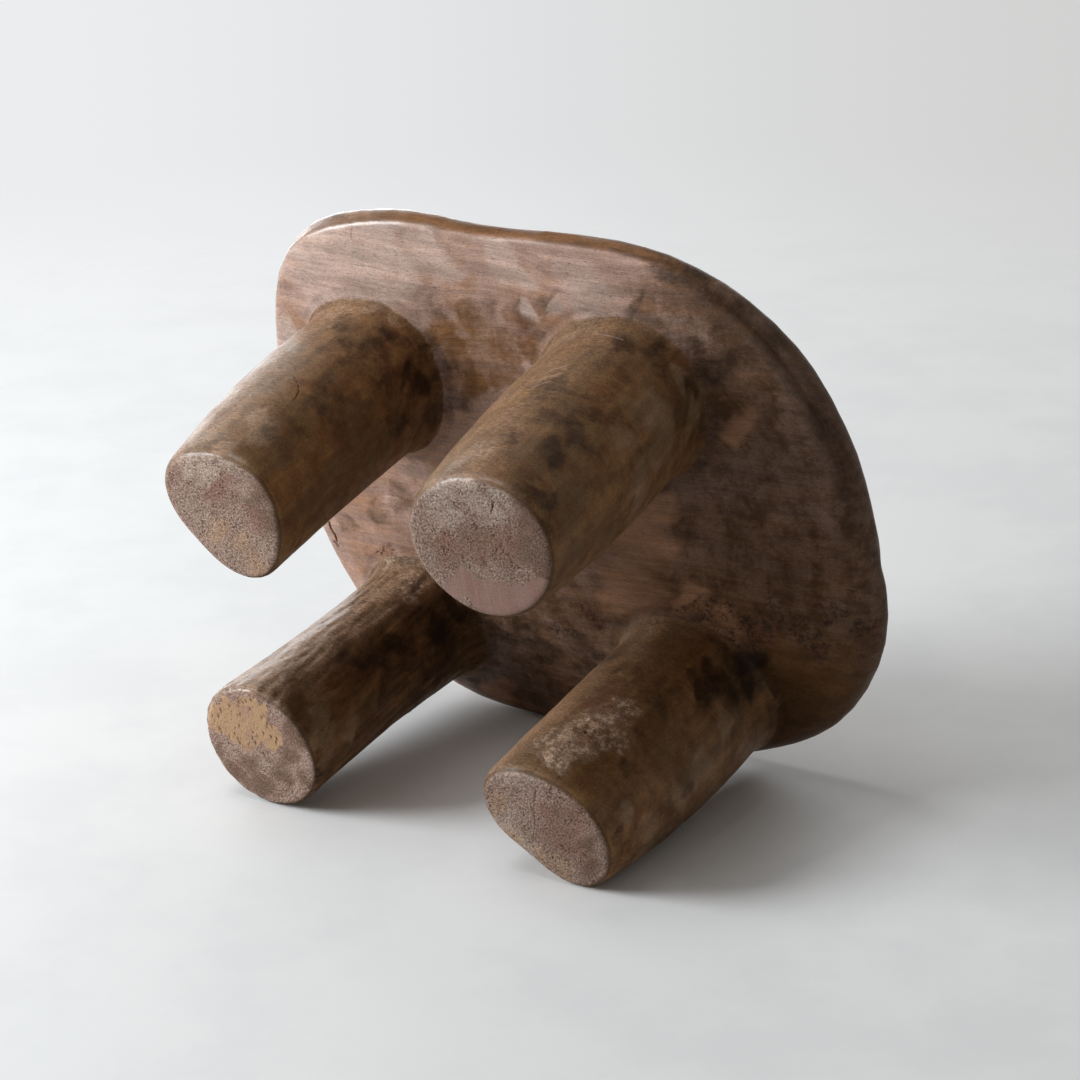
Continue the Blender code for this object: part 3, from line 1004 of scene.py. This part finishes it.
colour = laid(
    seat_colour.tint(leg_colour, on_leg),
    (RUDDY, 0.7 * spread("ruddy", soft=1.0, floor=0.5, rag=0.7)),
    # Black and dark spots: stains, and painted shadow where the front legs shade the underside and on the
    # shaded lower sides of the legs.
    (STAIN_AND_SHADE, 0.97 * spread("black", soft=1.3, floor=0.9, rag=0.2)),
    (STAIN_AND_SHADE, (0.74 + 0.06 * on_leg) * spread("dark", soft=1.3, floor=0.5, rag=0.45)),
    1 + (0.36 - 0.18 * on_leg) * (streaks - 0.5),
    1 + 0.15 * (1 - on_leg) * (lines - 0.5),
    1 + (0.20 - 0.08 * on_leg + 0.30 * mask["lit_and_rubbed"]) * (fibres - 0.5),
    1 - 0.30 * flecks,
    1 + (0.14 + 0.12 * on_leg) * (speck - 0.5),
    # Dust on worn edges, partly a painted glint on the edges that face the window lamp.
    (DUST_AND_LIGHT, 0.18 * mask["wear_and_glint"] * (1 - mask["sole"]) * blotch),
    # Painted shade: every hollow is darkened, as shade falls in the fillets and creases.
    1 - 0.25 * mask["hollow"],
    (DUST_AND_LIGHT, 0.6 * mask["scratch"]),
)
print("with the stains:", len(tree.nodes), "nodes")

# %% [markdown]
# The soles show end grain: grey, gritty and full of pits, with a raw broken part on the rear left foot
# and a freshly sawn part on the front right one. Their patches fade at the edges, and the grit goes over
# them all.

# %% Sole colour
SOLE_TONE = (0.40, 0.282, 0.226, 1)
SOLE_DARK = (0.110, 0.060, 0.042, 1)
SOLE_PALE = (0.56, 0.443, 0.370, 1)
SOLE_RED = (0.230, 0.105, 0.075, 1)
SOLE_OCHRE = (0.48, 0.31, 0.18, 1)
SOLE_BROWN = (0.125, 0.070, 0.045, 1)
RAW_TONE = (0.42, 0.262, 0.150, 1)
SAWN_TONE = (0.300, 0.186, 0.156, 1)

grit = place.noise(800.0, detail=4.0, roughness=0.7).step(0.36, 0.64)
saw_lines = place.stretch(1, 0.06, 1).noise(420.0, detail=3.0, roughness=0.6).step(0.4, 0.6)


def on_sole_patch(name):
    """A patch on a sole that fades towards its edge, and is thinner between blotches."""
    return mask[name].step(0, 1.0) * (0.55 + 0.45 * blotch)


sawn_colour = (0.35 * saw_lines).blend(SAWN_TONE, SOLE_RED)
sole_colour = laid(
    (0.5 + 0.5 * grit).blend(SOLE_DARK, SOLE_TONE),
    (SOLE_PALE, 0.5 * speck * blotch),
    (SOLE_RED, 0.35 * clouds * (1 - blotch)),
    (SOLE_RED, 0.75 * on_sole_patch("red")),
    (SOLE_PALE, 0.9 * on_sole_patch("ashen")),
    (SOLE_OCHRE, 0.6 * on_sole_patch("ochre")),
    (SOLE_BROWN, 0.95 * on_sole_patch("brown")),
    0.60 + 0.60 * grit,
    (SOLE_DARK, 0.4 * (1 - blotch) * speck),
    (RAW_TONE, 0.9 * (mask["raw"] + 0.15 * (blotch - 0.5)).step(0.05, 0.2)),
    (sawn_colour, 0.85 * (mask["sawn"] + 0.3 * (blotch - 0.5)).step(0.0, 0.3)),
    1 - 0.75 * mask["pit"],
    # Painted shade: the soles of the right feet are darker, for the light that falls off away from the
    # window lamp.
    1.12 - 0.26 * length.step(-0.12, 0.1),
)
sole_share = mask["sole"].step(0.1, 0.8)
# Painted shade: a dark ring round each sole, left out on the worn edges that face the window lamp, so it
# lies on the edges turned from the light.
shaded_sole_edge = mask["sole"].step(0.02, 0.2) * (1 - mask["sole"].step(0.3, 0.8)) * (1 - mask["wear_and_glint"])
colour = laid(colour, (sole_colour, sole_share), (LEG_DARK, 0.6 * shaded_sole_edge), 1 - 0.75 * mask["crack"])
tree.links.new(colour.socket, shader.inputs["Base Color"])
print("with the sole colour:", len(tree.nodes), "nodes")

# %% [markdown]
# Old wood that is handled is not evenly dull. Worn edges and the top have a slight polish, which is a
# coat over the wood, and soles and crust are rough. A bump too fine for the mesh follows the grain.

# %% Finish
rough = 0.36 + 0.14 * blotch + 0.40 * mask["sole"] + 0.3 * crusted - 0.08 * mask["wear_and_glint"]
tree.links.new(rough.socket, shader.inputs["Roughness"])
shine = 0.02 + 0.55 * mask["wear_and_glint"] + 0.12 * mask["top"] + 0.15 * spread("pale")
polish = shine * (1 - mask["sole"]) * (1 - crusted) * (1 - mask["hollow"])
tree.links.new(polish.socket, shader.inputs["Coat Weight"])
rugged = 0.6 * crusted + 0.4 * mask["sole"] * (1 - mask["sawn"].step(0.1, 0.3))
rugged = rugged + 0.4 * mask["crust"].step(0, 0.5)
relief = 0.25 * streaks + 0.15 * lines + 0.15 * strokes + 0.12 * fibres + 0.1 * speck
relief = relief + rugged * grit - 0.4 * hairs
bump = start.make("ShaderNodeBump", None, {"Strength": 0.5, "Distance": 0.0008, "Height": relief})
tree.links.new(bump.socket, shader.inputs["Normal"])
print("wood nodes:", len(tree.nodes))

# %% [markdown]
# The tipped stool rests on three places: two rear feet and the edge of the seat. The floor is the plane
# that touches all three, found from the finished pieces by a few rounds of picking the lowest point of
# each. It is the floor that is tilted here, because the stool itself stays upright in its own frame.

# %% Where the floor lies
FLOOR_UP = Vector((0.0164, -0.9639, 0.2657)).normalized()
PLANE_ROUNDS = 6


def resting_plane(up, groups):
    """The plane that touches the lowest point of each of three groups of points."""
    for _ in range(PLANE_ROUNDS):
        low = [group[np.argmin(group @ np.array(up))] for group in groups]
        found = Vector(low[1] - low[0]).cross(Vector(low[2] - low[0])).normalized()
        up = found if found.dot(up) > 0 else -found
    return up, min(up.dot(Vector(p)) for p in low)


groups = [points_of(pieces[name].data) for name in ("leg_rear_left", "leg_rear_right", "seat")]
floor_up, floor_level = resting_plane(FLOOR_UP, groups)
print("floor up", [round(v, 4) for v in floor_up], "level", round(floor_level, 4))
stage_right = (CAMERA_RIGHT - floor_up * CAMERA_RIGHT.dot(floor_up)).normalized()
stage_front = floor_up.cross(stage_right).normalized()
if stage_front.dot(camera_back) < 0:
    stage_front = -stage_front
middle = (cad_box[0] + cad_box[1]) / 2
middle = middle + floor_up * (floor_level - floor_up.dot(middle))

# %% [markdown]
# The floor is a pale painted disc. It fades out far from the stool, so that no edge shows, and its back
# is clear, so that it hides nothing when the stool is looked at from below.

# %% Floor
FLOOR_RADIUS = 3.0
FLOOR_TONE = (0.80, 0.80, 0.80, 1)
FLOOR_SMUDGE = (0.76, 0.76, 0.765, 1)
FLOOR_FADE = (0.5, 1.6)

bm = bmesh.new()
bmesh.ops.create_circle(bm, cap_ends=True, radius=FLOOR_RADIUS, segments=64)
floor_mesh = bpy.data.meshes.new("floor")
bm.to_mesh(floor_mesh)
bm.free()
floor = new_object("floor", floor_mesh)
floor.matrix_world = Matrix((stage_right, floor_up.cross(stage_right), floor_up)).transposed().to_4x4()
floor.matrix_world.translation = middle

paint = bpy.data.materials.new("floor_paint")
paint.use_nodes = True
tree = paint.node_tree
start = Wire(tree)
shader = tree.nodes["Principled BSDF"]
shader.inputs["Roughness"].default_value = 0.9
shader.inputs["Specular IOR Level"].default_value = 0.1
spot = start.make("ShaderNodeTexCoord", output="Object")
smudges = spot.noise(9.0, detail=6.0, roughness=0.6).step(0.4, 0.65)
floor_colour = smudges.blend(FLOOR_TONE, FLOOR_SMUDGE)
tree.links.new(floor_colour.socket, shader.inputs["Base Color"])
distance = start.vector("LENGTH", {0: spot}, output=1)
behind = start.make("ShaderNodeNewGeometry", output="Backfacing")
clear = start.math("MAXIMUM", behind, distance.step(*FLOOR_FADE))
see_through = start.make("ShaderNodeBsdfTransparent")
mixed = start.make("ShaderNodeMixShader", None, {0: clear, 1: Wire(tree, shader.outputs[0]), 2: see_through})
tree.links.new(mixed.socket, tree.nodes["Material Output"].inputs["Surface"])
floor.data.materials.append(paint)
print("floor radius", FLOOR_RADIUS)

# %% [markdown]
# The light is that of a room: a broad window to the left, a weak ceiling, a low window far behind, which
# reaches the floor between the legs, and the light that comes back from a wall. Discs give soft shadows,
# and each lamp's place is told from the stool, along the floor's own directions.

# %% Lamps
LAMP_TARGET = 0.12
LAMPS = {
    "window": {"left": 2.25, "above": 0.90, "toward": 0.0, "size": 1.2, "power": 70},
    "ceiling": {"left": 0.72, "above": 2.28, "toward": 0.15, "size": 1.2, "power": 16},
    "far window": {"left": 0.62, "above": 0.34, "toward": -2.30, "size": 1.4, "power": 22},
    "back wall": {"left": -0.93, "above": 0.98, "toward": -1.98, "size": 1.2, "power": 7},
}
LAMP_COLOUR = (0.93, 0.972, 1.0)


def add_lamp(name, left, above, toward, size, power):
    lamp = bpy.data.lights.new(name, "AREA")
    lamp.shape = "DISK"
    lamp.size = size
    lamp.energy = power
    lamp.color = LAMP_COLOUR
    obj = new_object(name, lamp)
    target = middle + floor_up * LAMP_TARGET
    place = target - stage_right * left + floor_up * above + stage_front * toward
    obj.location = place
    obj.rotation_euler = (target - place).to_track_quat("-Z", "Y").to_euler()
    obj.visible_camera = False


for name, settings in LAMPS.items():
    add_lamp(name, **settings)
print("lamps:", list(LAMPS))

# %% [markdown]
# The room behind is plain, a little darker to the right. What the camera and shiny surfaces see is that
# wall. What lights the stool is an even, weak sky, so the wall's brightness can be set by itself.

# %% Backdrop
SKY_COLOUR = (1.0, 0.94, 0.86, 1)
SKY_STRENGTH = 0.22
WALL_LEFT = (0.84, 0.85, 0.87, 1)
WALL_RIGHT = (0.64, 0.64, 0.635, 1)

world = bpy.data.worlds.new("studio")
scene.world = world
world.use_nodes = True
tree = world.node_tree
start = Wire(tree)
rays = tree.nodes.new("ShaderNodeLightPath")
SHOWN_TO = ("Is Camera Ray", "Is Glossy Ray", "Is Transmission Ray")
camera_ray, glossy_ray, clear_ray = (Wire(tree, rays.outputs[kind]) for kind in SHOWN_TO)
seen = start.math("MAXIMUM", start.math("MAXIMUM", camera_ray, glossy_ray), clear_ray)
look = start.make("ShaderNodeTexCoord", output="Generated")


def towards(direction):
    return start.vector("DOT_PRODUCT", {0: look, 1: direction}, output=1)


lit = tree.nodes["Background"]
lit.inputs["Color"].default_value = SKY_COLOUR
lit.inputs["Strength"].default_value = SKY_STRENGTH
wall = towards(stage_right).step(-0.2, 0.2).blend(WALL_LEFT, WALL_RIGHT)
plain = start.make("ShaderNodeBackground", None, {"Color": wall, "Strength": 1.0})
mixed = start.make("ShaderNodeMixShader", None, {0: seen, 1: Wire(tree, lit.outputs[0]), 2: plain})
tree.links.new(mixed.socket, tree.nodes["World Output"].inputs["Surface"])
scene.view_settings.view_transform = "Standard"
print("world:", world.name, "sky", SKY_STRENGTH)

# %% [markdown]
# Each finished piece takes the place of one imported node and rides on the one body, because nothing on
# this stool moves. The slots let someone who reuses the part give the seat and the legs a finish of their
# own.

# %% Hand the pieces to the frame
for name, piece in pieces.items():
    piece.data.materials.clear()
    piece.data.materials.append(wood)
    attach(piece, "root")
    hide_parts(name)
